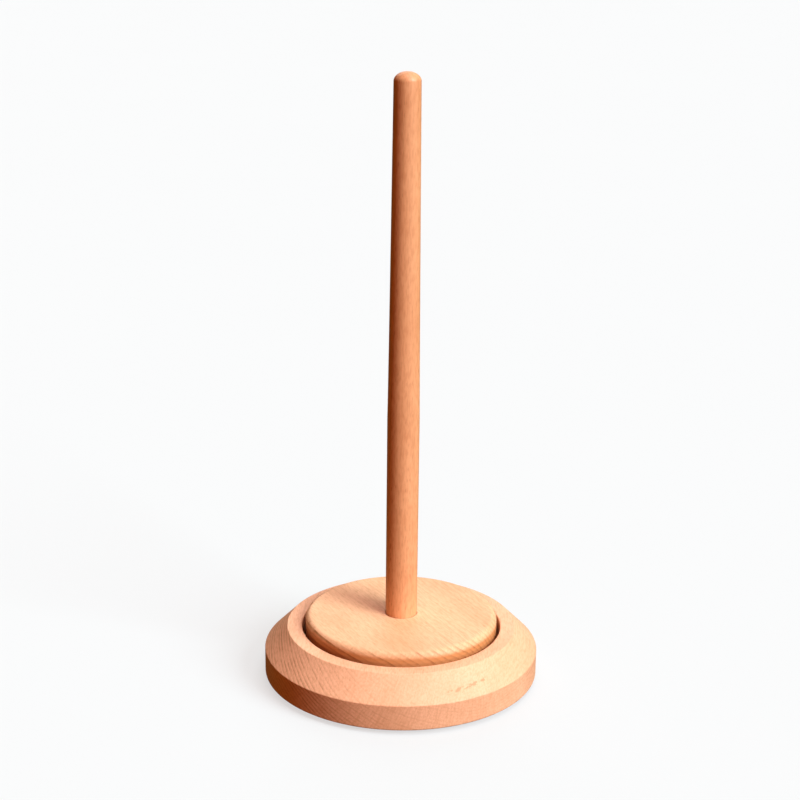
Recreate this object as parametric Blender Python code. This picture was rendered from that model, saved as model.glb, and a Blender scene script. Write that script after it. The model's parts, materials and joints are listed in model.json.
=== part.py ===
"""Revolving yarn holder: a tapered beech post on a beech turntable disc, which runs on a
thin ring bearing let into a round chamfered beech base. Metres, +Z up.

The origin is the centre of the circle that the feet stand on. Everything that spins does so about +Z.
"""

import math

import bmesh
import bpy
from mathutils import Matrix, Vector

# Gap left between pieces that touch on the real object.
JOIN_GAP = 0.0003

# Base: a round block with a vertical wall, a conical flank and a flat rim round a recess.
FOOT_HEIGHT = 0.0020
FOOT_RADIUS = 0.0060
FOOT_CIRCLE = 0.0540
FOOT_COUNT = 4
BASE_RADIUS = 0.0700
BASE_THICKNESS = 0.0245
WALL_HEIGHT = 0.0130
RIM_RADIUS = 0.0585
RECESS_RADIUS = 0.0509
EDGE_FILLET = 0.0008

# Turntable disc.
DISC_RADIUS = 0.0491
DISC_THICKNESS = 0.0120
DISC_FILLET = 0.0030
DISC_PROUD = 0.0060
POST_SEAT_DEPTH = 0.0010

# Post: a dowel, parallel in its lower part and tapered above, that ends in a low dome.
POST_LENGTH = 0.2745
POST_FOOT_RADIUS = 0.00805
POST_TOP_RADIUS = 0.0066
POST_PARALLEL_LENGTH = 0.1050
POST_TAPER_POWER = 0.85
POST_DOME = 0.0045

# Ring bearing: two flat rings with a ball groove each, balls and a cage.
BEARING_HEIGHT = 0.0080
RACE_OFFSET = 0.0012
OUTER_RACE_RADIUS = 0.0400
OUTER_RACE_BORE = 0.0285
INNER_RACE_RADIUS = 0.0260
INNER_RACE_BORE = 0.0140
RACE_CHAMFER = 0.0006
BALL_RADIUS = 0.0020
BALL_COUNT = 12
BALL_CIRCLE = (OUTER_RACE_BORE + INNER_RACE_RADIUS) / 2
GROOVE_RADIUS = 0.00215
CAGE_CLEARANCE = 0.0003
CAGE_HEIGHT = 0.0060
CAGE_POCKET_RADIUS = 0.00215

# Machine screws that hold the outer race to the base, from underneath.
BASE_SCREW_COUNT = 4
BASE_SCREW_CIRCLE = 0.0345
BASE_SCREW_RADIUS = 0.0020
BASE_SCREW_LENGTH = 0.0120
BASE_SCREW_HEAD_RADIUS = 0.0038
BASE_SCREW_HEAD_HEIGHT = 0.0026
BASE_SCREW_CROSS_DEPTH = 0.0016
COUNTERBORE_RADIUS = 0.0046
COUNTERBORE_DEPTH = 0.0040

# Countersunk wood screws that hold the disc to the inner race.
DISC_SCREW_COUNT = 4
DISC_SCREW_CIRCLE = 0.0198
DISC_SCREW_RADIUS = 0.00175
DISC_SCREW_LENGTH = 0.0150
DISC_SCREW_HEAD_RADIUS = 0.0035
DISC_SCREW_CROSS_DEPTH = 0.0018
DISC_SCREW_POINT_LENGTH = 0.0035
DISC_SCREW_TIP_RADIUS = 0.00025
DISC_SCREW_PITCH = 0.0020
DISC_SCREW_THREAD_DEPTH = 0.00045

# Cross recess of both kinds of screw, as shares of the head's radius, the arm's length and the mouth's size.
CROSS_ARM_SHARE = 0.58
CROSS_WIDTH_SHARE = 0.42
CROSS_BOTTOM_SHARE = 0.6

# Double-ended stud that joins the post to the threaded insert in the disc.
STUD_RADIUS = 0.0030
STUD_IN_POST = 0.0220
STUD_SHORT_OF_DISC = 0.0010
STUD_PLAIN_LENGTH = 0.0030
STUD_POINT_LENGTH = 0.0060
STUD_TIP_RADIUS = 0.0009
STUD_MACHINE_PITCH = 0.0010
STUD_WOOD_PITCH = 0.0025
STUD_THREAD_DEPTH = 0.00055
INSERT_RADIUS = 0.0045
INSERT_LENGTH = 0.0080
INSERT_FLANGE_RADIUS = 0.0065
INSERT_FLANGE_THICKNESS = 0.0012
INSERT_RIDGES = 3
INSERT_RIDGE_DEPTH = 0.0006

# Heights that follow from the stack of pieces.
UNDERSIDE = FOOT_HEIGHT + JOIN_GAP
RIM_TOP = UNDERSIDE + BASE_THICKNESS
DISC_TOP = RIM_TOP + DISC_PROUD
DISC_UNDERSIDE = DISC_TOP - DISC_THICKNESS
INNER_RACE_TOP = DISC_UNDERSIDE - JOIN_GAP
OUTER_RACE_UNDERSIDE = INNER_RACE_TOP - BEARING_HEIGHT
INNER_RACE_UNDERSIDE = OUTER_RACE_UNDERSIDE + RACE_OFFSET
OUTER_RACE_TOP = INNER_RACE_TOP - RACE_OFFSET
RECESS_FLOOR = OUTER_RACE_UNDERSIDE - JOIN_GAP
BALL_HEIGHT = (OUTER_RACE_UNDERSIDE + INNER_RACE_TOP) / 2
POST_SEAT = DISC_TOP - POST_SEAT_DEPTH
POST_UNDERSIDE = POST_SEAT + JOIN_GAP

# How finely round shapes are divided.
WOOD_STEPS = 64
POST_STEPS = 32
RACE_STEPS = 48
SMALL_STEPS = 16
FILLET_STEPS = 3
TAPER_RINGS = 7
DOME_RINGS = 6
GROOVE_STEPS = 6
THREAD_COLUMNS = 12
THREAD_ROWS_PER_PITCH = 4
BALL_COLUMNS = 12
BALL_ROWS = 6
SMOOTH_ANGLE = math.radians(35)
CUTTER_MARGIN = 0.001
WELD = 1e-7


# ---------------------------------------------------------------- scene and materials

def clear_scene():
    for obj in list(bpy.data.objects):
        bpy.data.objects.remove(obj, do_unlink=True)


def make_material(name, colour, roughness, metallic=0.0):
    material = bpy.data.materials.new(name)
    material.use_nodes = True
    shader = material.node_tree.nodes["Principled BSDF"]
    shader.inputs["Base Color"].default_value = (*colour, 1.0)
    shader.inputs["Roughness"].default_value = roughness
    shader.inputs["Metallic"].default_value = metallic
    return material


# ---------------------------------------------------------------- outlines

def filleted(corners, closed=True):
    """Turns corners (radius, height, fillet) into outline points, each fillet as an arc."""
    points = []
    count = len(corners)
    for index, (radius, height, fillet) in enumerate(corners):
        at_end = not closed and index in (0, count - 1)
        if fillet == 0 or at_end:
            points.append((radius, height))
            continue
        corner = Vector((radius, height))
        before = (Vector(corners[index - 1][:2]) - corner).normalized()
        after = (Vector(corners[(index + 1) % count][:2]) - corner).normalized()
        half_angle = before.angle(after) / 2
        centre = corner + (before + after).normalized() * (fillet / math.sin(half_angle))
        start = corner + before * (fillet / math.tan(half_angle)) - centre
        end = corner + after * (fillet / math.tan(half_angle)) - centre
        sweep = start.angle_signed(end)
        for step in range(FILLET_STEPS + 1):
            # angle_signed is clockwise-positive, and Matrix.Rotation is anticlockwise-positive.
            turn = Matrix.Rotation(-sweep * step / FILLET_STEPS, 2)
            points.append(tuple(centre + turn @ start))
    return points


def groove_arc(facing):
    """Ball groove of a race, an arc about the ball circle. The outer race's faces +1 and the inner's -1."""
    wall = (OUTER_RACE_BORE - INNER_RACE_RADIUS) / 2
    half_angle = math.acos(wall / GROOVE_RADIUS)
    angles = [half_angle * (2 * step / GROOVE_STEPS - 1) for step in range(GROOVE_STEPS + 1)]
    return [
        (BALL_CIRCLE + facing * GROOVE_RADIUS * math.cos(a), BALL_HEIGHT + GROOVE_RADIUS * math.sin(a))
        for a in angles
    ]


def ring_places(count, circle, height, start_angle=0.0):
    """Positions of a ring of pieces about the Z axis."""
    for index in range(count):
        angle = start_angle + 2 * math.pi * index / count
        yield Vector((circle * math.cos(angle), circle * math.sin(angle), height)), angle


# ---------------------------------------------------------------- solids

def finished(name, mesh_data, material):
    """Makes an object from a bmesh: welded, facing out and smooth on its round faces."""
    bmesh.ops.remove_doubles(mesh_data, verts=mesh_data.verts, dist=WELD)
    bmesh.ops.recalc_face_normals(mesh_data, faces=mesh_data.faces)
    mesh = bpy.data.meshes.new(name)
    mesh_data.to_mesh(mesh)
    mesh_data.free()
    if material:
        mesh.materials.append(material)
    mesh.shade_smooth()
    mesh.set_sharp_from_angle(angle=SMOOTH_ANGLE)
    obj = bpy.data.objects.new(name, mesh)
    bpy.context.scene.collection.objects.link(obj)
    return obj


def turned(name, outline, steps, material, closed=True):
    """Spins an outline of (radius, height) points about Z. An open outline starts and ends on the axis."""
    shape = bmesh.new()
    verts = [shape.verts.new((radius, 0.0, height)) for radius, height in outline]
    pairs = list(zip(verts, verts[1:]))
    if closed:
        pairs.append((verts[-1], verts[0]))
    edges = [shape.edges.new(pair) for pair in pairs]
    bmesh.ops.spin(
        shape, geom=verts + edges, cent=(0, 0, 0), axis=(0, 0, 1), angle=2 * math.pi, steps=steps,
        use_merge=True,
    )
    bmesh.ops.remove_doubles(shape, verts=shape.verts, dist=WELD)
    bmesh.ops.dissolve_degenerate(shape, edges=shape.edges, dist=WELD)
    return finished(name, shape, material)


def radius_at(outline, height):
    """Radius of an outline whose heights only rise, at one height."""
    for (radius_a, height_a), (radius_b, height_b) in zip(outline, outline[1:]):
        if height <= height_b:
            share = (height - height_a) / (height_b - height_a)
            return radius_a + share * (radius_b - radius_a)
    return outline[-1][0]


def threaded(name, outline, threads, material):
    """A rod with helical threads. outline is (radius, height) at the crests, rising from end to end;
    threads are (start height, end height, pitch, depth)."""
    heights = {height for _, height in outline}
    for start, end, pitch, _ in threads:
        rows = round((end - start) / pitch * THREAD_ROWS_PER_PITCH)
        heights |= {start + (end - start) * row / rows for row in range(rows + 1)}
    heights = sorted(heights)
    heights = heights[:1] + [b for a, b in zip(heights, heights[1:]) if b - a > WELD]
    shape = bmesh.new()
    rings = []
    for height in heights:
        ring = []
        for column in range(THREAD_COLUMNS):
            turn = column / THREAD_COLUMNS
            radius = radius_at(outline, height)
            for start, end, pitch, depth in threads:
                if start < height < end:
                    phase = ((height - start) / pitch - turn) % 1.0
                    radius -= depth * abs(2 * phase - 1)
            angle = 2 * math.pi * turn
            ring.append(shape.verts.new((radius * math.cos(angle), radius * math.sin(angle), height)))
        rings.append(ring)
    for lower, upper in zip(rings, rings[1:]):
        for column in range(THREAD_COLUMNS):
            after = (column + 1) % THREAD_COLUMNS
            shape.faces.new((lower[column], lower[after], upper[after], upper[column]))
    shape.faces.new(reversed(rings[0]))
    shape.faces.new(rings[-1])
    return finished(name, shape, material)


def cylinder_cutter(name, radius, bottom, top, place=(0, 0)):
    """A plain drill that a Boolean cuts with."""
    shape = bmesh.new()
    bmesh.ops.create_cone(
        shape, cap_ends=True, segments=SMALL_STEPS, radius1=radius, radius2=radius, depth=top - bottom,
        matrix=Matrix.Translation((place[0], place[1], (top + bottom) / 2)),
    )
    return hidden(finished(name, shape, None))


def hidden(cutter):
    cutter.hide_render = True
    cutter.display_type = "WIRE"
    return cutter


def cut(obj, cutters):
    """Cuts each cutter out of the object, applies the cuts and removes the cutters."""
    for cutter in cutters:
        modifier = obj.modifiers.new(cutter.name, "BOOLEAN")
        modifier.operation = "DIFFERENCE"
        modifier.object = cutter
    graph = bpy.context.evaluated_depsgraph_get()
    mesh = bpy.data.meshes.new_from_object(obj.evaluated_get(graph))
    obj.modifiers.clear()
    obj.data = mesh
    for cutter in cutters:
        bpy.data.objects.remove(cutter, do_unlink=True)
    return obj


def cross_cutter(name, head_radius, bottom, top):
    """Cross recess of a screw head, open at the bottom: two crossed blades that narrow towards the top."""
    shape = bmesh.new()
    arm = head_radius * CROSS_ARM_SHARE
    half = arm * CROSS_WIDTH_SHARE / 2
    corners = []
    for quarter in range(4):
        turn = Matrix.Rotation(math.radians(90 * quarter), 2)
        corners += [turn @ Vector(point) for point in ((half, half), (half, arm), (-half, arm))]
    lower = [shape.verts.new((*point, bottom)) for point in corners]
    upper = [shape.verts.new((*(point * CROSS_BOTTOM_SHARE), top)) for point in corners]
    for here in range(len(corners)):
        after = (here + 1) % len(corners)
        shape.faces.new((lower[here], lower[after], upper[after], upper[here]))
    shape.faces.new(reversed(lower))
    shape.faces.new(upper)
    return hidden(finished(name, shape, None))


def copies(first, count, circle, start_angle=0.0):
    """Places a piece and its copies, which share one mesh, round the Z axis; the names get numbers."""
    name = first.name
    pieces = [first] + [bpy.data.objects.new(name, first.data) for _ in range(count - 1)]
    for number, (piece, (place, angle)) in enumerate(
        zip(pieces, ring_places(count, circle, 0.0, start_angle)), start=1
    ):
        if piece is not first:
            bpy.context.scene.collection.objects.link(piece)
        piece.name = f"{name}_{number}"
        piece.location = place
        piece.rotation_euler.z = angle
    return pieces


# ---------------------------------------------------------------- the base and what is fixed to it

def make_base(wood):
    corners = [
        (0.0, UNDERSIDE, 0),
        (BASE_RADIUS, UNDERSIDE, EDGE_FILLET),
        (BASE_RADIUS, UNDERSIDE + WALL_HEIGHT, EDGE_FILLET),
        (RIM_RADIUS, RIM_TOP, EDGE_FILLET),
        (RECESS_RADIUS, RIM_TOP, EDGE_FILLET),
        (RECESS_RADIUS, RECESS_FLOOR, 0),
        (0.0, RECESS_FLOOR, 0),
    ]
    base = turned("base", filleted(corners, closed=False), WOOD_STEPS, wood, closed=False)
    drills = []
    places = ring_places(BASE_SCREW_COUNT, BASE_SCREW_CIRCLE, 0.0, base_screw_start())
    for number, (place, _) in enumerate(places, start=1):
        drills.append(
            cylinder_cutter(
                f"base_screw_hole_{number}", BASE_SCREW_RADIUS + JOIN_GAP, UNDERSIDE - CUTTER_MARGIN,
                RECESS_FLOOR + CUTTER_MARGIN, place,
            )
        )
        drills.append(
            cylinder_cutter(
                f"counterbore_{number}", COUNTERBORE_RADIUS, UNDERSIDE - CUTTER_MARGIN,
                UNDERSIDE + COUNTERBORE_DEPTH, place,
            )
        )
    return cut(base, drills)


def base_screw_start():
    """The base screws stand halfway between the disc screws."""
    return math.pi / BASE_SCREW_COUNT


def make_feet(rubber):
    corners = [
        (0.0, 0.0, 0),
        (FOOT_RADIUS, 0.0, EDGE_FILLET),
        (FOOT_RADIUS, FOOT_HEIGHT, 0),
        (0.0, FOOT_HEIGHT, 0),
    ]
    foot = turned("foot", filleted(corners, closed=False), SMALL_STEPS, rubber, closed=False)
    return copies(foot, FOOT_COUNT, FOOT_CIRCLE)


def make_outer_race(aluminium):
    corners = [
        (OUTER_RACE_BORE, OUTER_RACE_UNDERSIDE),
        (OUTER_RACE_RADIUS - RACE_CHAMFER, OUTER_RACE_UNDERSIDE),
        (OUTER_RACE_RADIUS, OUTER_RACE_UNDERSIDE + RACE_CHAMFER),
        (OUTER_RACE_RADIUS, OUTER_RACE_TOP - RACE_CHAMFER),
        (OUTER_RACE_RADIUS - RACE_CHAMFER, OUTER_RACE_TOP),
        (OUTER_RACE_BORE, OUTER_RACE_TOP),
    ]
    outline = corners + list(reversed(groove_arc(+1)))
    race = turned("outer_race", outline, RACE_STEPS, aluminium)
    places = ring_places(BASE_SCREW_COUNT, BASE_SCREW_CIRCLE, 0.0, base_screw_start())
    drills = [
        cylinder_cutter(
            f"outer_race_hole_{number}", BASE_SCREW_RADIUS + JOIN_GAP, OUTER_RACE_UNDERSIDE - CUTTER_MARGIN,
            OUTER_RACE_TOP + CUTTER_MARGIN, place,
        )
        for number, (place, _) in enumerate(places, start=1)
    ]
    return cut(race, drills)


def make_base_screws(steel):
    """Pan-head machine screws: the head is down in the counterbore and the shank points up."""
    seat = UNDERSIDE + COUNTERBORE_DEPTH - JOIN_GAP
    head_bottom = seat - BASE_SCREW_HEAD_HEIGHT
    tip = seat + BASE_SCREW_LENGTH
    corners = [
        (0.0, head_bottom, 0),
        (BASE_SCREW_HEAD_RADIUS, head_bottom, BASE_SCREW_HEAD_HEIGHT / 2),
        (BASE_SCREW_HEAD_RADIUS, seat, 0),
        (BASE_SCREW_RADIUS, seat, 0),
        (BASE_SCREW_RADIUS, tip - RACE_CHAMFER, 0),
        (BASE_SCREW_RADIUS - RACE_CHAMFER, tip, 0),
        (0.0, tip, 0),
    ]
    screw = turned("base_screw", filleted(corners, closed=False), SMALL_STEPS, steel, closed=False)
    recess = cross_cutter(
        "base_screw_cross", BASE_SCREW_HEAD_RADIUS, head_bottom - CUTTER_MARGIN,
        head_bottom + BASE_SCREW_CROSS_DEPTH,
    )
    cut(screw, [recess])
    return copies(screw, BASE_SCREW_COUNT, BASE_SCREW_CIRCLE, base_screw_start())


# ---------------------------------------------------------------- the balls and their cage

def make_cage(nylon):
    inner = INNER_RACE_RADIUS + CAGE_CLEARANCE
    outer = OUTER_RACE_BORE - CAGE_CLEARANCE
    bottom = BALL_HEIGHT - CAGE_HEIGHT / 2
    top = BALL_HEIGHT + CAGE_HEIGHT / 2
    outline = [(inner, bottom), (outer, bottom), (outer, top), (inner, top)]
    cage = turned("ball_cage", outline, RACE_STEPS, nylon)
    reach = outer - inner + 2 * CUTTER_MARGIN
    drills = []
    for number, (place, angle) in enumerate(ring_places(BALL_COUNT, BALL_CIRCLE, BALL_HEIGHT), start=1):
        shape = bmesh.new()
        lying_outwards = (
            Matrix.Translation(place) @ Matrix.Rotation(angle, 4, "Z") @ Matrix.Rotation(math.pi / 2, 4, "Y")
        )
        bmesh.ops.create_cone(
            shape, cap_ends=True, segments=SMALL_STEPS, depth=reach, matrix=lying_outwards,
            radius1=CAGE_POCKET_RADIUS, radius2=CAGE_POCKET_RADIUS,
        )
        drills.append(hidden(finished(f"cage_pocket_{number}", shape, None)))
    return cut(cage, drills)


def make_balls(steel):
    shape = bmesh.new()
    bmesh.ops.create_uvsphere(
        shape, u_segments=BALL_COLUMNS, v_segments=BALL_ROWS, radius=BALL_RADIUS,
        matrix=Matrix.Translation((0, 0, BALL_HEIGHT)),
    )
    return copies(finished("ball", shape, steel), BALL_COUNT, BALL_CIRCLE)


# ---------------------------------------------------------------- the turntable

def make_inner_race(aluminium):
    corners = [
        (INNER_RACE_RADIUS, INNER_RACE_TOP),
        (INNER_RACE_BORE + RACE_CHAMFER, INNER_RACE_TOP),
        (INNER_RACE_BORE, INNER_RACE_TOP - RACE_CHAMFER),
        (INNER_RACE_BORE, INNER_RACE_UNDERSIDE + RACE_CHAMFER),
        (INNER_RACE_BORE + RACE_CHAMFER, INNER_RACE_UNDERSIDE),
        (INNER_RACE_RADIUS, INNER_RACE_UNDERSIDE),
    ]
    outline = corners + groove_arc(-1)
    race = turned("inner_race", outline, RACE_STEPS, aluminium)
    hole = DISC_SCREW_RADIUS + JOIN_GAP
    sink = DISC_SCREW_HEAD_RADIUS + JOIN_GAP
    drills = []
    for number, (place, _) in enumerate(ring_places(DISC_SCREW_COUNT, DISC_SCREW_CIRCLE, 0.0), start=1):
        outline = [
            (0.0, INNER_RACE_UNDERSIDE - CUTTER_MARGIN),
            (sink, INNER_RACE_UNDERSIDE - CUTTER_MARGIN),
            (sink, INNER_RACE_UNDERSIDE + JOIN_GAP),
            (hole, INNER_RACE_UNDERSIDE + JOIN_GAP + sink - hole),
            (hole, INNER_RACE_TOP + CUTTER_MARGIN),
            (0.0, INNER_RACE_TOP + CUTTER_MARGIN),
        ]
        drill = hidden(turned(f"countersink_{number}", outline, SMALL_STEPS, None, closed=False))
        drill.location = place
        drills.append(drill)
    return cut(race, drills)


def make_disc(wood):
    insert_hole = INSERT_RADIUS + JOIN_GAP
    insert_top = DISC_UNDERSIDE + INSERT_LENGTH + JOIN_GAP
    stud_hole = STUD_RADIUS + JOIN_GAP
    seat_radius = POST_FOOT_RADIUS + JOIN_GAP
    corners = [
        (insert_hole, DISC_UNDERSIDE, 0),
        (DISC_RADIUS, DISC_UNDERSIDE, EDGE_FILLET),
        (DISC_RADIUS, DISC_TOP, DISC_FILLET),
        (seat_radius, DISC_TOP, 0),
        (seat_radius, POST_SEAT, 0),
        (stud_hole, POST_SEAT, 0),
        (stud_hole, insert_top, 0),
        (insert_hole, insert_top, 0),
    ]
    disc = turned("disc", filleted(corners), WOOD_STEPS, wood)
    tip = disc_screw_seat() + DISC_SCREW_LENGTH
    drills = [
        cylinder_cutter(
            f"pilot_hole_{number}", DISC_SCREW_RADIUS + JOIN_GAP, DISC_UNDERSIDE - CUTTER_MARGIN,
            tip + JOIN_GAP, place,
        )
        for number, (place, _) in enumerate(ring_places(DISC_SCREW_COUNT, DISC_SCREW_CIRCLE, 0.0), start=1)
    ]
    return cut(disc, drills)


def disc_screw_seat():
    """Height of the flat of a disc screw's head, just inside the inner race's countersink."""
    return INNER_RACE_UNDERSIDE + JOIN_GAP


def make_disc_screws(steel):
    """Countersunk wood screws, head down in the inner race and point up in the disc."""
    seat = disc_screw_seat()
    tip = seat + DISC_SCREW_LENGTH
    neck = seat + DISC_SCREW_HEAD_RADIUS - DISC_SCREW_RADIUS
    point_start = tip - DISC_SCREW_POINT_LENGTH
    outline = [
        (DISC_SCREW_HEAD_RADIUS, seat),
        (DISC_SCREW_RADIUS, neck),
        (DISC_SCREW_RADIUS, point_start),
        (DISC_SCREW_TIP_RADIUS, tip),
    ]
    thread = (DISC_UNDERSIDE, point_start, DISC_SCREW_PITCH, DISC_SCREW_THREAD_DEPTH)
    screw = threaded("disc_screw", outline, [thread], steel)
    recess = cross_cutter(
        "disc_screw_cross", DISC_SCREW_HEAD_RADIUS, seat - CUTTER_MARGIN, seat + DISC_SCREW_CROSS_DEPTH
    )
    cut(screw, [recess])
    return copies(screw, DISC_SCREW_COUNT, DISC_SCREW_CIRCLE)


def make_insert(brass):
    """Flanged insert with an M6 bore, screwed into the disc from below; its ridges grip the wood."""
    bore = STUD_RADIUS + JOIN_GAP
    flange_top = DISC_UNDERSIDE - JOIN_GAP
    flange_bottom = flange_top - INSERT_FLANGE_THICKNESS
    top = DISC_UNDERSIDE + INSERT_LENGTH
    outline = [
        (bore, flange_bottom),
        (INSERT_FLANGE_RADIUS, flange_bottom),
        (INSERT_FLANGE_RADIUS, flange_top),
    ]
    root = INSERT_RADIUS - INSERT_RIDGE_DEPTH
    ridge_pitch = (top - flange_top) / (INSERT_RIDGES + 1)
    outline.append((root, flange_top))
    for ridge in range(1, INSERT_RIDGES + 1):
        middle = flange_top + ridge_pitch * ridge
        outline.append((root, middle - ridge_pitch / 3))
        outline.append((INSERT_RADIUS, middle))
        outline.append((root, middle + ridge_pitch / 3))
    outline.append((root, top))
    outline.append((bore, top))
    return turned("disc_insert", outline, 2 * SMALL_STEPS, brass)


def make_stud(steel):
    """Double-ended stud: machine thread in the insert below, wood thread in the post above."""
    bottom = DISC_UNDERSIDE + STUD_SHORT_OF_DISC
    top = POST_UNDERSIDE + STUD_IN_POST
    plain_bottom = POST_SEAT - STUD_PLAIN_LENGTH
    point_start = top - STUD_POINT_LENGTH
    outline = [
        (STUD_RADIUS - STUD_THREAD_DEPTH, bottom),
        (STUD_RADIUS, bottom + STUD_THREAD_DEPTH),
        (STUD_RADIUS, point_start),
        (STUD_TIP_RADIUS, top),
    ]
    threads = [
        (bottom + STUD_THREAD_DEPTH, plain_bottom, STUD_MACHINE_PITCH, STUD_THREAD_DEPTH),
        (POST_UNDERSIDE, point_start, STUD_WOOD_PITCH, STUD_THREAD_DEPTH),
    ]
    return threaded("post_stud", outline, threads, steel)


def make_post(wood):
    bore = STUD_RADIUS + JOIN_GAP
    bore_top = POST_UNDERSIDE + STUD_IN_POST + JOIN_GAP
    taper_start = DISC_TOP + POST_PARALLEL_LENGTH
    shoulder = DISC_TOP + POST_LENGTH - POST_DOME
    outline = [
        (0.0, bore_top),
        (bore, bore_top),
        (bore, POST_UNDERSIDE),
        (POST_FOOT_RADIUS - JOIN_GAP, POST_UNDERSIDE),
        (POST_FOOT_RADIUS, POST_UNDERSIDE + JOIN_GAP),
        (POST_FOOT_RADIUS, taper_start),
    ]
    for ring in range(1, TAPER_RINGS + 1):
        share = ring / TAPER_RINGS
        radius = POST_FOOT_RADIUS - (POST_FOOT_RADIUS - POST_TOP_RADIUS) * share**POST_TAPER_POWER
        outline.append((radius, taper_start + (shoulder - taper_start) * share))
    for ring in range(1, DOME_RINGS):
        angle = math.pi / 2 * ring / DOME_RINGS
        outline.append((POST_TOP_RADIUS * math.cos(angle), shoulder + POST_DOME * math.sin(angle)))
    outline.append((0.0, shoulder + POST_DOME))
    return turned("post", outline, POST_STEPS, wood, closed=False)


# ---------------------------------------------------------------- assembly

def spin_axis(name, pieces):
    """An empty on the spin axis that carries the pieces of one moving body."""
    empty = bpy.data.objects.new(name, None)
    bpy.context.scene.collection.objects.link(empty)
    for piece in pieces:
        piece.parent = empty


def main():
    clear_scene()
    base_wood = make_material("beech_base", (0.72, 0.44, 0.25), 0.42)
    disc_wood = make_material("beech_disc", (0.78, 0.50, 0.29), 0.40)
    post_wood = make_material("beech_post", (0.66, 0.36, 0.19), 0.38)
    aluminium = make_material("aluminium", (0.78, 0.79, 0.80), 0.35, 1.0)
    steel = make_material("zinc_plated_steel", (0.62, 0.63, 0.65), 0.30, 1.0)
    brass = make_material("brass", (0.72, 0.55, 0.25), 0.32, 1.0)
    nylon = make_material("nylon", (0.85, 0.84, 0.80), 0.50)
    rubber = make_material("rubber", (0.06, 0.06, 0.065), 0.80)

    make_base(base_wood)
    make_feet(rubber)
    make_outer_race(aluminium)
    make_base_screws(steel)
    spin_axis("ball_set_axis", [make_cage(nylon), *make_balls(steel)])
    turntable = [make_inner_race(aluminium), make_disc(disc_wood), *make_disc_screws(steel)]
    turntable += [make_insert(brass), make_stud(steel), make_post(post_wood)]
    spin_axis("turntable_axis", turntable)


main()
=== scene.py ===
import json
import math

import bmesh
import bpy
from mathutils import Matrix, Vector


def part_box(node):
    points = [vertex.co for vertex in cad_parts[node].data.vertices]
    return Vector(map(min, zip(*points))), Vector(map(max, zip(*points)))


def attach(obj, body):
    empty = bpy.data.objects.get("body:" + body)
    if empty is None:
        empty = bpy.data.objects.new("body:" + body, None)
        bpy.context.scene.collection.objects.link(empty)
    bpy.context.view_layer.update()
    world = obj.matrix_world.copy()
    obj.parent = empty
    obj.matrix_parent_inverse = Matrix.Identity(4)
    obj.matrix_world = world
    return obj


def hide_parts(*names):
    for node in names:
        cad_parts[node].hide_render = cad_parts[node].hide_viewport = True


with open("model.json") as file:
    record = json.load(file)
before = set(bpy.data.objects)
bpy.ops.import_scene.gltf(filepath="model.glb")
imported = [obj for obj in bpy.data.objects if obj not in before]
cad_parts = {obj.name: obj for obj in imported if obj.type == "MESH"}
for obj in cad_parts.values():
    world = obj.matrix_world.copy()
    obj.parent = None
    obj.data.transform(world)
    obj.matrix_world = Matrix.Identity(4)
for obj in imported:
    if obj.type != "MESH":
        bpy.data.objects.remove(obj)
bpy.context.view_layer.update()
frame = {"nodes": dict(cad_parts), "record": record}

# The looks of the revolving yarn holder: lacquered beech, the ring bearing, the fixings and the feet, with
# floor, light and camera. Lengths are in metres, and colours are linear.

# ---------------------------------------------------------------- sizes

MM = 0.001

# Read from the frame.
BASE_LOW, BASE_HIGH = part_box("base")
DISC_LOW, DISC_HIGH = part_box("disc")
POST_LOW, POST_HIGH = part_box("post")
BASE_RADIUS = BASE_HIGH.x
UNDERSIDE, RIM_TOP = BASE_LOW.z, BASE_HIGH.z
DISC_RADIUS = DISC_HIGH.x
DISC_UNDERSIDE, DISC_TOP = DISC_LOW.z, DISC_HIGH.z
POST_UNDERSIDE, POST_TOP = POST_LOW.z, POST_HIGH.z
POST_FOOT_RADIUS = POST_HIGH.x
RACE_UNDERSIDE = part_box("outer_race")[0].z

# Repeated from the CAD, because the frame doesn't name them.
JOIN_GAP = 0.3 * MM
POST_SEAT_DEPTH = 1.0 * MM
WALL_HEIGHT = 13.0 * MM
RIM_RADIUS = 58.5 * MM
RECESS_RADIUS = 50.9 * MM
DISC_FILLET = 3.0 * MM
POST_TOP_RADIUS = 6.6 * MM
POST_PARALLEL_LENGTH = 105.0 * MM
POST_TAPER_POWER = 0.85
POST_DOME = 4.5 * MM
POST_BORE_DEPTH = 22.3 * MM
STUD_HOLE_RADIUS = 3.3 * MM
INSERT_HOLE_RADIUS = 4.8 * MM
INSERT_HOLE_DEPTH = 8.3 * MM
SCREW_COUNT = 4
FOOT_COUNT = 4
BASE_SCREW_CIRCLE = 34.5 * MM
BASE_SCREW_HOLE_RADIUS = 2.3 * MM
COUNTERBORE_RADIUS = 4.6 * MM
COUNTERBORE_DEPTH = 4.0 * MM

# Only in the looks.
SOFT_EDGE = 0.8 * MM
FOOT_DISH = 0.3 * MM
FOOT_EDGE = 0.6 * MM
FOOT_DISH_SHARE, FOOT_RING_SHARE = 0.62, 0.70
FOOT_DISH_FILLET, FOOT_RING_FILLET, FOOT_TOP_FILLET = 0.15 * MM, 0.20 * MM, 0.15 * MM
WOOD_STEPS = 256
POST_STEPS = 128
POST_RINGS = 24
SMALL_STEPS = 48
ARC_STEPS = 8
SUPPORT = 0.25 * MM
SMOOTH_ANGLE = math.radians(40)
CUTTER_MARGIN = 1.0 * MM
WELD = 1e-7


# ---------------------------------------------------------------- outlines and meshes

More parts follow.
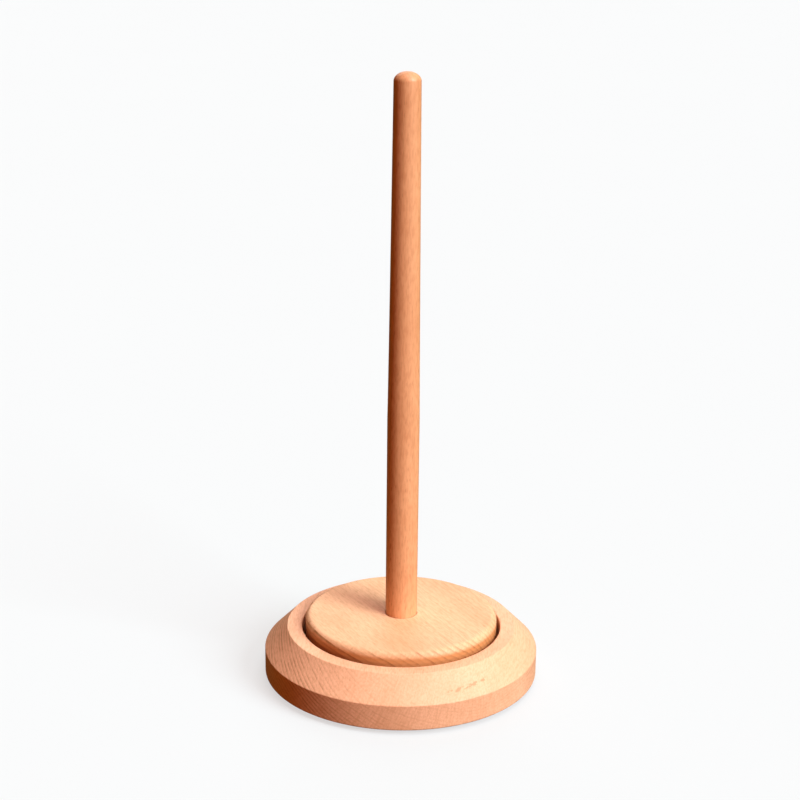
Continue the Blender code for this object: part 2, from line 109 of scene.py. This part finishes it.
def rounded(corners, closed):
    """Outline through corners (radius, height, fillet). Each fillet is an arc with a support point on each
    side, so that smooth shading stays on the fillet."""
    points = []
    for index, (radius, height, fillet) in enumerate(corners):
        if not fillet:
            points.append((radius, height))
            continue
        corner = Vector((radius, height))
        before = (Vector(corners[index - 1][:2]) - corner).normalized()
        after = (Vector(corners[(index + 1) % len(corners)][:2]) - corner).normalized()
        half_angle = before.angle(after) / 2
        reach = fillet / math.tan(half_angle)
        centre = corner + (before + after).normalized() * (fillet / math.sin(half_angle))
        start = corner + before * reach - centre
        end = corner + after * reach - centre
        sweep = start.angle_signed(end)
        points.append(tuple(corner + before * (reach + SUPPORT)))
        for step in range(ARC_STEPS + 1):
            points.append(tuple(centre + Matrix.Rotation(-sweep * step / ARC_STEPS, 2) @ start))
        points.append(tuple(corner + after * (reach + SUPPORT)))
    return points + points[:1] if closed else points


def finished(name, shape):
    """An object from a bmesh, welded, facing outwards, smooth except at its sharp edges."""
    bmesh.ops.remove_doubles(shape, verts=shape.verts, dist=WELD)
    bmesh.ops.recalc_face_normals(shape, faces=shape.faces)
    mesh = bpy.data.meshes.new(name)
    shape.to_mesh(mesh)
    shape.free()
    mesh.shade_smooth()
    mesh.set_sharp_from_angle(angle=SMOOTH_ANGLE)
    piece = bpy.data.objects.new(name, mesh)
    bpy.context.scene.collection.objects.link(piece)
    return piece


def turned(name, outline, steps):
    """Spins an outline of (radius, height) points about the Z axis."""
    shape = bmesh.new()
    verts = [shape.verts.new((radius, 0.0, height)) for radius, height in outline]
    edges = [shape.edges.new(pair) for pair in zip(verts, verts[1:])]
    bmesh.ops.spin(
        shape, geom=verts + edges, cent=(0, 0, 0), axis=(0, 0, 1), angle=math.tau, steps=steps,
        use_merge=True,
    )
    bmesh.ops.remove_doubles(shape, verts=shape.verts, dist=WELD)
    bmesh.ops.dissolve_degenerate(shape, edges=shape.edges, dist=WELD)
    return finished(name, shape)


def drilled(piece, drills):
    """Cuts the drills out of the piece and removes them."""
    for drill in drills:
        cut = piece.modifiers.new(drill.name, "BOOLEAN")
        cut.operation = "DIFFERENCE"
        cut.object = drill
    graph = bpy.context.evaluated_depsgraph_get()
    piece.data = bpy.data.meshes.new_from_object(piece.evaluated_get(graph))
    piece.modifiers.clear()
    for drill in drills:
        bpy.data.objects.remove(drill)
    piece.data.shade_smooth()
    piece.data.set_sharp_from_angle(angle=SMOOTH_ANGLE)


# ---------------------------------------------------------------- materials

class Surface:
    """A material whose nodes are added by short calls. A value is a number, colour or node's output."""

    def __init__(self, name):
        self.material = bpy.data.materials.new(name)
        self.material.use_nodes = True
        self.tree = self.material.node_tree
        self.shader = self.tree.nodes["Principled BSDF"]

    def feed(self, socket, value):
        if isinstance(value, bpy.types.NodeSocket):
            self.tree.links.new(value, socket)
        else:
            socket.default_value = value

    def add(self, kind, inputs, output=0, **settings):
        node = self.tree.nodes.new("ShaderNode" + kind)
        for key, value in settings.items():
            setattr(node, key, value)
        for key, value in inputs.items():
            self.feed(node.inputs[key], value)
        return node.outputs[output]

    def math(self, operation, first, second=0.0, third=0.0):
        return self.add("Math", {0: first, 1: second, 2: third}, operation=operation)

    def times(self, product, *factors):
        for factor in factors:
            product = self.math("MULTIPLY", product, factor)
        return product

    def length(self, x, y):
        return self.math("SQRT", self.math("MULTIPLY_ADD", x, x, self.times(y, y)))

    def place(self, scale, rotation=(0, 0, 0), shift=(0, 0, 0), vector=None):
        """Object coordinates, or another vector, scaled, then turned, then shifted."""
        vector = vector or self.add("TexCoord", {}, output="Object")
        inputs = {"Vector": vector, "Scale": scale, "Rotation": rotation, "Location": shift}
        return self.add("Mapping", inputs)

    def parts(self, vector):
        """The X, Y and Z of a vector."""
        node = self.tree.nodes.new("ShaderNodeSeparateXYZ")
        self.feed(node.inputs[0], vector)
        return node.outputs

    def noise(self, vector, scale=1.0, detail=2.0, roughness=0.5):
        inputs = {"Vector": vector, "Scale": scale, "Detail": detail, "Roughness": roughness}
        return self.add("TexNoise", inputs)

    def band(self, value, low, high, to_low=0.0, to_high=1.0):
        """Smooth step from to_low at low to to_high at high."""
        return self.add(
            "MapRange",
            {"Value": value, "From Min": low, "From Max": high, "To Min": to_low, "To Max": to_high},
            interpolation_type="SMOOTHSTEP",
        )

    def mix(self, share, first, second, blend="MIX"):
        return self.add(
            "Mix", {0: share, 6: self.colour(first), 7: self.colour(second)}, output=2, data_type="RGBA",
            blend_type=blend,
        )

    def colour(self, value):
        return value if isinstance(value, bpy.types.NodeSocket) else (*value, 1.0)

    def bump(self, height, distance, normal=None):
        inputs = {"Height": height, "Distance": distance, "Strength": 1.0}
        if normal:
            inputs["Normal"] = normal
        return self.add("Bump", inputs)

    def set(self, **inputs):
        """Feeds the shader; a socket's name is written with underscores for its spaces."""
        for key, value in inputs.items():
            self.feed(self.shader.inputs[key.replace("_", " ")], value)
        return self.material


def scaled(colour, shares):
    return [channel * share for channel, share in zip(colour, shares)]


# ---------------------------------------------------------------- beech

# Heights of the relief.
RING_RELIEF = 0.030 * MM
WAVE_RELIEF = 0.05 * MM

# How strongly a mark shows, from 0 to 1.
CLOUDS = 0.26
VESSELS = 0.35
END_RAYS = 0.32
BROWN_ROW = 0.85
# Painted shade on the disc's side, below its top edge and at its foot by the rim.
SIDE_SHADE_TONE = 0.90
SHADE_TONE = 0.50

# What is left of the rings or flecks on such a face, or near the pith.
RINGS_ON_FLAT = 0.45
RINGS_ON_LEVEL_TOP = 0.40
RINGS_NEAR_PITH = 0.30
FLECKS_ON_END = 0.12

# The tones of single marks and of the painted shade on the disc's side, as shares of the wood's dark tone.
RING_SHARES = (0.80, 0.80, 0.80)
FLECK_SHARES = (0.75, 0.75, 0.75)
SIDE_SHADE_SHARES = (1.04, 0.88, 0.55)
SHADE_SHARES = (0.50, 0.34, 0.20)

# Painted shade on the disc's side: the depth over which it grows, and where the rim's shade starts and is
# full.
SIDE_SHADE_DEPTH = 2.2 * MM
SHADE_START, SHADE_END = RIM_TOP + 1.0 * MM, RIM_TOP - 0.1 * MM

# The row of brown dashes: its slope in mm for each radian, the noise's waves for each radian, how far from
# its middle it is full and where it is gone, in mm, and the angle over which an end fades.
ROW_SLOPE = 5.0
ROW_DASHES = 26.0
ROW_CORE, ROW_EDGE = 0.35, 0.90
ROW_FADE = 0.04


def grain_axes(fibre, layers):
    """Rotation that turns object space to (across the layers, along the layers, along the fibres)."""
    along = Vector(fibre).normalized()
    across = Vector(layers)
    across = (across - along * across.dot(along)).normalized()
    return Matrix((across, along.cross(across), along)).to_euler()


def wood_noise(look, wood, scale, shift=(0, 0, 0), detail=2.0, roughness=0.5):
    """Noise in the wood's own space, with scale in waves for each mm along its axes."""
    return look.noise(look.place(scale, shift=shift, vector=wood), detail=detail, roughness=roughness)


def growth_rings(look, wood, from_pith, ring_width, seed):
    """Late wood, the dark outer part of each year's layer, in layers of uneven width and strength."""
    drift = wood_noise(look, wood, (0.018, 0.018, 0.005), (seed, 0, 0), detail=1.0)
    wobble = wood_noise(look, wood, (0.22, 0.22, 0.015), (0, seed, 0))
    gaps = wood_noise(look, wood, (0.30, 0.30, 0.12), (0, 0, seed), detail=3.0, roughness=0.6)
    age = look.math("MULTIPLY_ADD", drift, 5.0, look.math("DIVIDE", from_pith, ring_width))
    age = look.math("MULTIPLY_ADD", wobble, 0.35, age)
    season = look.math("FRACT", age)
    late = look.times(look.band(season, 0.30, 0.88), look.band(season, 1.0, 0.94))
    year = look.add("TexWhiteNoise", {"W": look.math("FLOOR", age)}, noise_dimensions="1D")
    strength = look.math("MULTIPLY_ADD", year, 0.75, 0.25)
    return look.times(late, strength, look.band(gaps, 0.32, 0.62, 0.35, 1.0))


def ray_flecks(look, wood):
    """Rays seen from the side: lenses about 3 mm across and 0.5 mm thick, scattered unevenly."""
    inputs = {"Vector": look.place((0.20, 1.25, 0.21), vector=wood), "Scale": 1.0, "Randomness": 1.0}
    lens = look.add("TexVoronoi", inputs)
    which = look.add("TexVoronoi", inputs, output="Color")
    return look.times(look.band(lens, 0.30, 0.14), look.band(look.parts(which)[0], 0.30, 0.60))


def end_rays(look, across, along, from_pith, pith):
    """Rays seen on end: fine lines that run out from the pith."""
    round_pith = look.times(look.math("ARCTAN2", along, across), pith)
    lines = look.add("CombineXYZ", {"X": round_pith, "Y": look.times(from_pith, 0.12)})
    return look.band(look.noise(lines), 0.40, 0.66)


def brown_row(look, first, last, start_radius):
    """A row of brown dashes on the flank, from the first to the last angle round the Z axis. Its radius
    in mm is start_radius - ROW_SLOPE * angle."""
    x, y, _ = look.parts(look.place((1 / MM,) * 3))
    radius = look.length(x, y)
    angle = look.math("ARCTAN2", y, x)
    row = look.math("MULTIPLY_ADD", angle, -ROW_SLOPE, start_radius)
    beside = look.math("ABSOLUTE", look.math("SUBTRACT", radius, row))
    unrolled = look.add("CombineXYZ", {"X": look.times(angle, ROW_DASHES), "Y": radius})
    dashes = look.band(look.noise(unrolled, detail=1.0), 0.44, 0.54)
    start = look.band(angle, first, first + ROW_FADE)
    end = look.band(angle, last, last - ROW_FADE)
    return look.times(dashes, look.band(beside, ROW_EDGE, ROW_CORE), start, end)


def ground_with_painted_shade(look, light, dark, dark_below):
    """The ground colour of the disc, with painted shade: darker on its side below the top edge, and
    darkest where the rim shades it.
    """
    height = look.parts(look.add("TexCoord", {}, output="Object"))[2]
    side_shade = look.band(height, dark_below, dark_below - SIDE_SHADE_DEPTH, 0.0, SIDE_SHADE_TONE)
    shade = look.band(height, SHADE_START, SHADE_END, 0.0, SHADE_TONE)
    ground = look.mix(side_shade, light, scaled(dark, SIDE_SHADE_SHARES))
    return look.mix(shade, ground, scaled(dark, SHADE_SHARES))


def beech(
    name, light, dark, fibre, layers, pith, ring_width, seed, rings, side_rings, flecks, streaky,
    calm_within=1.0, dark_below=None, fleck_row=None, end_tone=0.16, coat=0.0,
):
    """Lacquered beech, solid right through. Growth layers are cylinders round the pith, which is pith mm
    away against the layers direction, and they are faint less than about calm_within mm from it. Rays are
    thin lenses that stand across the layers. They show as flecks on a face along the fibres, and as fine
    lines on the end grain. rings, flecks and streaky are strengths, side_rings is the rings' share away
    from the end grain, and end_tone is how much darker the end grain is. Below the height dark_below the
    colour is darkened with painted shade, deepest where the rim would shade it. fleck_row holds what
    brown_row takes."""
    look = Surface(name)
    wood = look.place((1 / MM,) * 3, grain_axes(fibre, layers), (pith, 0, 0))
    across, along, _ = look.parts(wood)
    from_pith = look.length(across, along)

    # The surface's direction in the wood. End grain stands across the fibres: it is a little darker, its
    # rings are strong and it shows hardly any flecks. A flat face lies along the layers, and its rings are
    # broad and faint. A level top is sanded finer than a turned side, and its rings are fainter too.
    normal = look.add("TexCoord", {}, output="Normal")
    facing = look.parts(look.place((1, 1, 1), grain_axes(fibre, layers), vector=normal))
    end_grain = look.band(look.math("ABSOLUTE", facing[2]), 0.35, 0.95)
    outwards = look.math("MULTIPLY_ADD", facing[0], across, look.times(facing[1], along))
    outwards = look.math("DIVIDE", look.math("ABSOLUTE", outwards), from_pith)
    late = look.times(
        growth_rings(look, wood, from_pith, ring_width, seed),
        look.band(outwards, 0.45, 0.82, 1.0, RINGS_ON_FLAT),
        look.band(end_grain, 0.0, 1.0, side_rings, 1.0),
        look.band(look.parts(normal)[2], 0.90, 0.99, 1.0, RINGS_ON_LEVEL_TOP),
        look.band(from_pith, calm_within * 0.85, calm_within * 1.05, RINGS_NEAR_PITH, 1.0),
    )

    vessels = wood_noise(look, wood, (2.4, 2.4, 0.12), (seed, seed, 0), detail=3.0, roughness=0.6)
    streaks = wood_noise(look, wood, (1.15, 1.15, 0.24), (0, 0, seed), detail=3.0)
    clouds = wood_noise(look, wood, (0.045, 0.045, 0.025), (seed, 2.0, 0))
    fleck = look.times(ray_flecks(look, wood), look.band(end_grain, 0.0, 1.0, 1.0, FLECKS_ON_END))
    rays = look.times(end_rays(look, across, along, from_pith, pith), end_grain)

    # The late wood multiplies what is under it by its own tone over the light one.
    ring_tint = [channel / full for channel, full in zip(scaled(dark, RING_SHARES), light)]
    # The disc's side gets painted shade here.
    colour = ground_with_painted_shade(look, light, dark, dark_below) if dark_below else light
    colour = look.mix(look.band(streaks, 0.38, 0.70, 0.0, streaky), colour, dark)
    colour = look.mix(look.band(clouds, 0.35, 0.70, 0.0, CLOUDS), colour, dark)
    colour = look.mix(look.times(late, rings), colour, ring_tint, "MULTIPLY")
    colour = look.mix(look.band(vessels, 0.50, 0.78, 0.0, VESSELS), colour, dark)
    colour = look.mix(look.times(fleck, flecks), colour, scaled(dark, FLECK_SHARES))
    colour = look.mix(look.times(end_grain, end_tone), colour, dark)
    colour = look.mix(look.times(rays, END_RAYS), colour, dark)
    if fleck_row:
        colour = look.mix(look.times(brown_row(look, *fleck_row), BROWN_ROW), colour, dark)

    relief = look.math("MULTIPLY_ADD", late, 1.0, look.times(vessels, -0.5))
    relief = look.math("MULTIPLY_ADD", fleck, -0.5, relief)
    waves = look.bump(wood_noise(look, wood, (0.10, 0.10, 0.04), detail=1.0), WAVE_RELIEF)
    return look.set(
        Base_Color=colour,
        Roughness=look.band(look.math("MULTIPLY_ADD", fleck, 0.25, vessels), 0.35, 0.95, 0.58, 0.70),
        Normal=look.bump(relief, RING_RELIEF, waves),
        IOR=1.45,
        Coat_Weight=coat,
        Coat_Roughness=0.30,
    )


def base_beech():
    """The pith is above the base on the right, so the rings slope on the left flank and lie level on the
    right."""
    return beech(
        "beech_base", light=(0.89, 0.51, 0.31), dark=(0.58, 0.27, 0.13), fibre=(0.03, 1, 0.02),
        layers=(-0.354, 0, -0.935), pith=119.0, ring_width=1.8, seed=3.1, rings=0.85, side_rings=0.95,
        flecks=0.30, streaky=0.36, calm_within=121.0, fleck_row=(-1.24, -0.85, 60.3), coat=0.05,
    )


def disc_beech():
    """Fibres towards the front right, so the rings show as slanting stripes on the edge there."""
    # Painted shade darkens its side below the top edge, most of all at its foot by the rim.
    return beech(
        "beech_disc", light=(0.89, 0.53, 0.30), dark=(0.54, 0.25, 0.10), fibre=(0.47, -0.88, 0.0),
        layers=(0.68, 0.36, 0.64), pith=150.0, ring_width=2.4, seed=7.7, rings=1.0, side_rings=1.0,
        flecks=0.25, streaky=0.30, dark_below=DISC_TOP - 1.9 * MM, coat=0.06,
    )


def post_beech():
    """Redder wood, with its fibres along the post."""
    return beech(
        "beech_post", light=(0.77, 0.385, 0.185), dark=(0.54, 0.20, 0.07), fibre=(0.012, 0.0, 1),
        layers=(0.30, -0.95, 0), pith=70.0, ring_width=2.4, seed=1.3, rings=0.60, side_rings=0.80,
        flecks=0.40, streaky=0.42, end_tone=0.0, coat=0.28,
    )


# ---------------------------------------------------------------- metals, nylon and rubber

METAL_RELIEF = 0.006 * MM


def metal(name, colour, stain, roughness, lathe):
    """Bright metal with soft stains and fine grit. lathe is the strength of its turning marks."""
    look = Surface(name)
    place = look.place((1 / MM,) * 3)
    stains = look.noise(place, scale=0.35, detail=4.0, roughness=0.6)
    grit = look.noise(place, scale=6.0)
    x, y, z = look.parts(place)
    marks = look.noise(look.add("CombineXYZ", {"X": look.length(x, y), "Z": z}), scale=5.0, detail=1.0)
    marks = look.math("MULTIPLY_ADD", marks, lathe, grit)
    tone = look.mix(look.band(stains, 0.35, 0.75, 0.0, 0.6), colour, stain)
    tone = look.mix(look.band(marks, 0.6, 1.4, 0.0, 0.3), tone, stain)
    return look.set(
        Base_Color=tone,
        Metallic=1.0,
        Roughness=look.band(stains, 0.3, 0.8, roughness, roughness + 0.14),
        Normal=look.bump(marks, METAL_RELIEF),
    )


def moulded(name, light, dark, roughness, relief):
    """Nylon or rubber from a mould: faintly mottled, with a fine grain as high as relief."""
    look = Surface(name)
    place = look.place((1 / MM,) * 3)
    mottle = look.noise(place, scale=0.4, detail=3.0)
    speckle = look.noise(place, scale=5.0, detail=3.0, roughness=0.7)
    tone = look.mix(look.math("MULTIPLY_ADD", speckle, 0.5, look.times(mottle, 0.5)), light, dark)
    return look.set(
        Base_Color=tone,
        Roughness=look.band(speckle, 0.3, 0.7, roughness, roughness + 0.1),
        IOR=1.52,
        Normal=look.bump(speckle, relief),
    )


# ---------------------------------------------------------------- wooden pieces

def screw_drill(index, floor):
    """The space of a screw hole and its counterbore. The holes lie between the feet."""
    start = UNDERSIDE - CUTTER_MARGIN
    step = UNDERSIDE + COUNTERBORE_DEPTH
    end = floor + CUTTER_MARGIN
    outline = [
        (0, start),
        (COUNTERBORE_RADIUS, start),
        (COUNTERBORE_RADIUS, step),
        (BASE_SCREW_HOLE_RADIUS, step),
        (BASE_SCREW_HOLE_RADIUS, end),
        (0, end),
    ]
    drill = turned(f"drill_{index}", outline, SMALL_STEPS)
    angle = math.pi / SCREW_COUNT + math.tau * index / SCREW_COUNT
    drill.location = (BASE_SCREW_CIRCLE * math.cos(angle), BASE_SCREW_CIRCLE * math.sin(angle), 0)
    return drill


def make_base():
    floor = RACE_UNDERSIDE - JOIN_GAP
    corners = [
        (0.0, UNDERSIDE, 0),
        (BASE_RADIUS, UNDERSIDE, SOFT_EDGE),
        (BASE_RADIUS, UNDERSIDE + WALL_HEIGHT, SOFT_EDGE),
        (RIM_RADIUS, RIM_TOP, SOFT_EDGE),
        (RECESS_RADIUS, RIM_TOP, SOFT_EDGE),
        (RECESS_RADIUS, floor, 0),
        (0.0, floor, 0),
    ]
    base = turned("base_wood", rounded(corners, closed=False), WOOD_STEPS)
    drilled(base, [screw_drill(index, floor) for index in range(SCREW_COUNT)])
    base.data.materials.append(base_beech())
    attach(base, "base")
    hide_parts("base")


def make_disc():
    corners = [
        (INSERT_HOLE_RADIUS, DISC_UNDERSIDE, 0),
        (DISC_RADIUS, DISC_UNDERSIDE, SOFT_EDGE),
        (DISC_RADIUS, DISC_TOP, DISC_FILLET),
        (POST_FOOT_RADIUS + JOIN_GAP, DISC_TOP, 0),
        (POST_FOOT_RADIUS + JOIN_GAP, DISC_TOP - POST_SEAT_DEPTH, 0),
        (STUD_HOLE_RADIUS, DISC_TOP - POST_SEAT_DEPTH, 0),
        (STUD_HOLE_RADIUS, DISC_UNDERSIDE + INSERT_HOLE_DEPTH, 0),
        (INSERT_HOLE_RADIUS, DISC_UNDERSIDE + INSERT_HOLE_DEPTH, 0),
    ]
    disc = turned("disc_wood", rounded(corners, closed=True), WOOD_STEPS)
    disc.data.materials.append(disc_beech())
    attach(disc, "turntable")
    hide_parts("disc")


def make_post():
    taper_start = DISC_TOP + POST_PARALLEL_LENGTH
    shoulder = POST_TOP - POST_DOME
    bore_top = POST_UNDERSIDE + POST_BORE_DEPTH
    outline = [(0.0, bore_top), (STUD_HOLE_RADIUS, bore_top), (STUD_HOLE_RADIUS, POST_UNDERSIDE)]
    outline.append((POST_FOOT_RADIUS - JOIN_GAP, POST_UNDERSIDE))
    outline.append((POST_FOOT_RADIUS, POST_UNDERSIDE + JOIN_GAP))
    for ring in range(1, POST_RINGS + 1):
        height = POST_UNDERSIDE + (taper_start - POST_UNDERSIDE) * ring / POST_RINGS
        outline.append((POST_FOOT_RADIUS, height))
    for ring in range(1, POST_RINGS + 1):
        share = ring / POST_RINGS
        radius = POST_FOOT_RADIUS - (POST_FOOT_RADIUS - POST_TOP_RADIUS) * share**POST_TAPER_POWER
        outline.append((radius, taper_start + (shoulder - taper_start) * share))
    for ring in range(1, 2 * ARC_STEPS):
        angle = math.pi / 2 * ring / (2 * ARC_STEPS)
        outline.append((POST_TOP_RADIUS * math.cos(angle), shoulder + POST_DOME * math.sin(angle)))
    outline.append((0.0, POST_TOP))
    post = turned("post_wood", outline, POST_STEPS)
    post.data.materials.append(post_beech())
    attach(post, "turntable")
    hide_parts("post")


# ---------------------------------------------------------------- bearing, fixings and feet

def make_feet():
    """Self-adhesive rubber pads with a shallow dish underneath."""
    rubber = moulded("rubber", (0.050, 0.050, 0.054), (0.085, 0.084, 0.088), 0.70, 0.05 * MM)
    for number in range(1, FOOT_COUNT + 1):
        low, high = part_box(f"foot_{number}")
        radius = (high.x - low.x) / 2
        corners = [
            (0.0, low.z + FOOT_DISH, 0),
            (radius * FOOT_DISH_SHARE, low.z + FOOT_DISH, FOOT_DISH_FILLET),
            (radius * FOOT_RING_SHARE, low.z, FOOT_RING_FILLET),
            (radius, low.z, FOOT_EDGE),
            (radius, high.z, FOOT_TOP_FILLET),
            (0.0, high.z, 0),
        ]
        pad = turned(f"foot_pad_{number}", rounded(corners, closed=False), SMALL_STEPS)
        pad.location = ((high.x + low.x) / 2, (high.y + low.y) / 2, 0)
        pad.data.materials.append(rubber)
        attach(pad, "base")
        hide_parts(f"foot_{number}")


def finish_nodes():
    """Gives the CAD nodes that stay in sight their materials."""
    materials = {
        "aluminium": metal("aluminium", (0.78, 0.79, 0.80), (0.62, 0.63, 0.64), 0.28, 1.0),
        "zinc_plated_steel": metal("zinc_plated_steel", (0.63, 0.64, 0.66), (0.55, 0.52, 0.44), 0.24, 0.0),
        "ball_steel": metal("ball_steel", (0.60, 0.60, 0.62), (0.50, 0.50, 0.51), 0.08, 0.0),
        "brass": metal("brass", (0.74, 0.56, 0.26), (0.52, 0.34, 0.13), 0.26, 1.0),
        "nylon": moulded("nylon", (0.86, 0.85, 0.81), (0.78, 0.76, 0.70), 0.42, 0.01 * MM),
    }
    for part in frame["record"]["subparts"]:
        if part["material_slot"] in materials:
            frame["nodes"][part["node"]].data.materials[0] = materials[part["material_slot"]]


# ---------------------------------------------------------------- floor, light and camera

FLOOR_SIZE = 30.0
FLOOR_GLOW = 0.65
FLOOR_COLOUR = (0.216, 0.244, 0.252)
FLOOR_MOTTLE = 1.02
FLOOR_MOTTLE_SCALE = 3.0
PALE = 0.965
ROOM_COLOUR = (0.14, 0.058, 0.010)
CAMERA_DISTANCE = 0.868
CAMERA_ELEVATION = math.radians(26.16)
CAMERA_PITCH = math.radians(16.99)
CAMERA_YAW = math.radians(-0.135)
CAMERA_ROLL = math.radians(0.655)
LENS = 74.1


def make_floor():
    shape = bmesh.new()
    bmesh.ops.create_grid(shape, x_segments=8, y_segments=8, size=FLOOR_SIZE / 2)
    floor = finished("floor", shape)
    # The wood is lit by a warm room, and the pale floor throws no light of its own back on it.
    floor.visible_diffuse = False
    floor.visible_glossy = False
    look = Surface("floor")
    mottle = look.noise(look.place((FLOOR_MOTTLE_SCALE,) * 3), detail=3.0)
    paint = look.mix(mottle, FLOOR_COLOUR, scaled(FLOOR_COLOUR, (FLOOR_MOTTLE,) * 3))
    floor.data.materials.append(
        look.set(
            Base_Color=paint, Roughness=1.0, Specular_IOR_Level=0.0, Emission_Color=(PALE, PALE, PALE, 1),
            Emission_Strength=FLOOR_GLOW,
        )
    )


def make_light(name, azimuth, elevation, spread, strength, colour=(1, 1, 1)):
    """Broad light from far away. Azimuth 0 is in front, and 90 to the right. A white matt surface that
    faces a small white light of strength 1 is as bright as white."""
    azimuth, elevation = math.radians(azimuth), math.radians(elevation)
    towards = Vector(
        (
            math.sin(azimuth) * math.cos(elevation),
            -math.cos(azimuth) * math.cos(elevation),
            math.sin(elevation),
        )
    )
    lamp = bpy.data.lights.new(name, "SUN")
    lamp.energy = math.pi * strength
    lamp.angle = math.radians(spread)
    lamp.color = colour
    light = bpy.data.objects.new(name, lamp)
    light.location = towards
    light.rotation_euler = towards.to_track_quat("Z", "Y").to_euler()
    bpy.context.scene.collection.objects.link(light)


def make_world():
    """Warm dim surroundings for the object, seen as a pale backdrop."""
    world = bpy.data.worlds.new("surroundings")
    world.use_nodes = True
    bpy.context.scene.world = world
    nodes, links = world.node_tree.nodes, world.node_tree.links
    room = nodes["Background"]
    room.inputs["Color"].default_value = (*ROOM_COLOUR, 1)
    backdrop = nodes.new("ShaderNodeBackground")
    backdrop.inputs["Color"].default_value = (PALE, PALE, PALE, 1)
    seen = nodes.new("ShaderNodeLightPath")
    choose = nodes.new("ShaderNodeMixShader")
    links.new(seen.outputs["Is Camera Ray"], choose.inputs[0])
    links.new(room.outputs[0], choose.inputs[1])
    links.new(backdrop.outputs[0], choose.inputs[2])
    links.new(choose.outputs[0], nodes["World Output"].inputs["Surface"])


def make_camera():
    """Camera at the viewing angle of the photograph, aimed by its own pitch, yaw and roll."""
    place = Vector((0, -math.cos(CAMERA_ELEVATION), math.sin(CAMERA_ELEVATION))) * CAMERA_DISTANCE
    ahead = Vector(
        (
            math.sin(CAMERA_YAW) * math.cos(CAMERA_PITCH),
            math.cos(CAMERA_YAW) * math.cos(CAMERA_PITCH),
            -math.sin(CAMERA_PITCH),
        )
    )
    level = Vector((math.cos(CAMERA_YAW), -math.sin(CAMERA_YAW), 0))
    right = math.cos(CAMERA_ROLL) * level + math.sin(CAMERA_ROLL) * level.cross(ahead)
    data = bpy.data.cameras.new("camera")
    data.lens = LENS
    data.clip_start, data.clip_end = 0.01, 100
    camera = bpy.data.objects.new("camera", data)
    turn = Matrix((right, right.cross(ahead), -ahead)).transposed().to_4x4()
    camera.matrix_world = Matrix.Translation(place + Vector((0, 0, UNDERSIDE))) @ turn
    bpy.context.scene.collection.objects.link(camera)
    bpy.context.scene.camera = camera


make_base()
make_disc()
make_post()
make_feet()
finish_nodes()
make_floor()
make_world()
make_light("key", azimuth=53, elevation=31, spread=32, strength=1.33, colour=(0.90, 1.0, 1.03))
make_light("overhead", azimuth=60, elevation=75, spread=30, strength=0.46)
make_light("back", azimuth=185, elevation=38, spread=55, strength=0.32)
make_light("warm_front", azimuth=15, elevation=35, spread=50, strength=0.26, colour=(1.0, 0.05, 0.0))
make_camera()
bpy.context.scene.view_settings.view_transform = "Standard"
